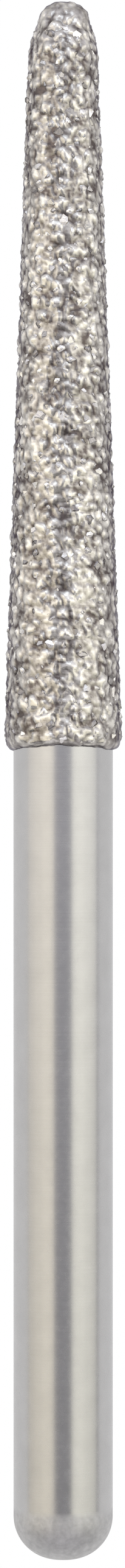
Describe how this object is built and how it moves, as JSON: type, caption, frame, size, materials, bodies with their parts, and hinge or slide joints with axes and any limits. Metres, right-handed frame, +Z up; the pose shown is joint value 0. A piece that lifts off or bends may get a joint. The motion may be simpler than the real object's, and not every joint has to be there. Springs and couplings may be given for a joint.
{
  "type": "dental bur",
  "caption": "Rotary dental bur: a plain cylindrical friction-grip shank with a rounded end and a long, slightly tapered diamond-coated head with a round point.",
  "frame": {"origin": "on the table, under the middle of the bur's length and width, as it lies at rest", "axes": "+Y along the bur towards its round point, +Z up from the table, +X to the right"},
  "size_m": [0.002, 0.025, 0.0019],
  "materials": {
    "steel": "stainless steel, turned and finely ground, satin",
    "diamond_coat": "coarse diamond grains in plated nickel, glittering"
  },
  "bodies": {
    "root": {"steel_blank": "steel", "diamond_coat": "diamond_coat"}
  },
  "joints": []
}
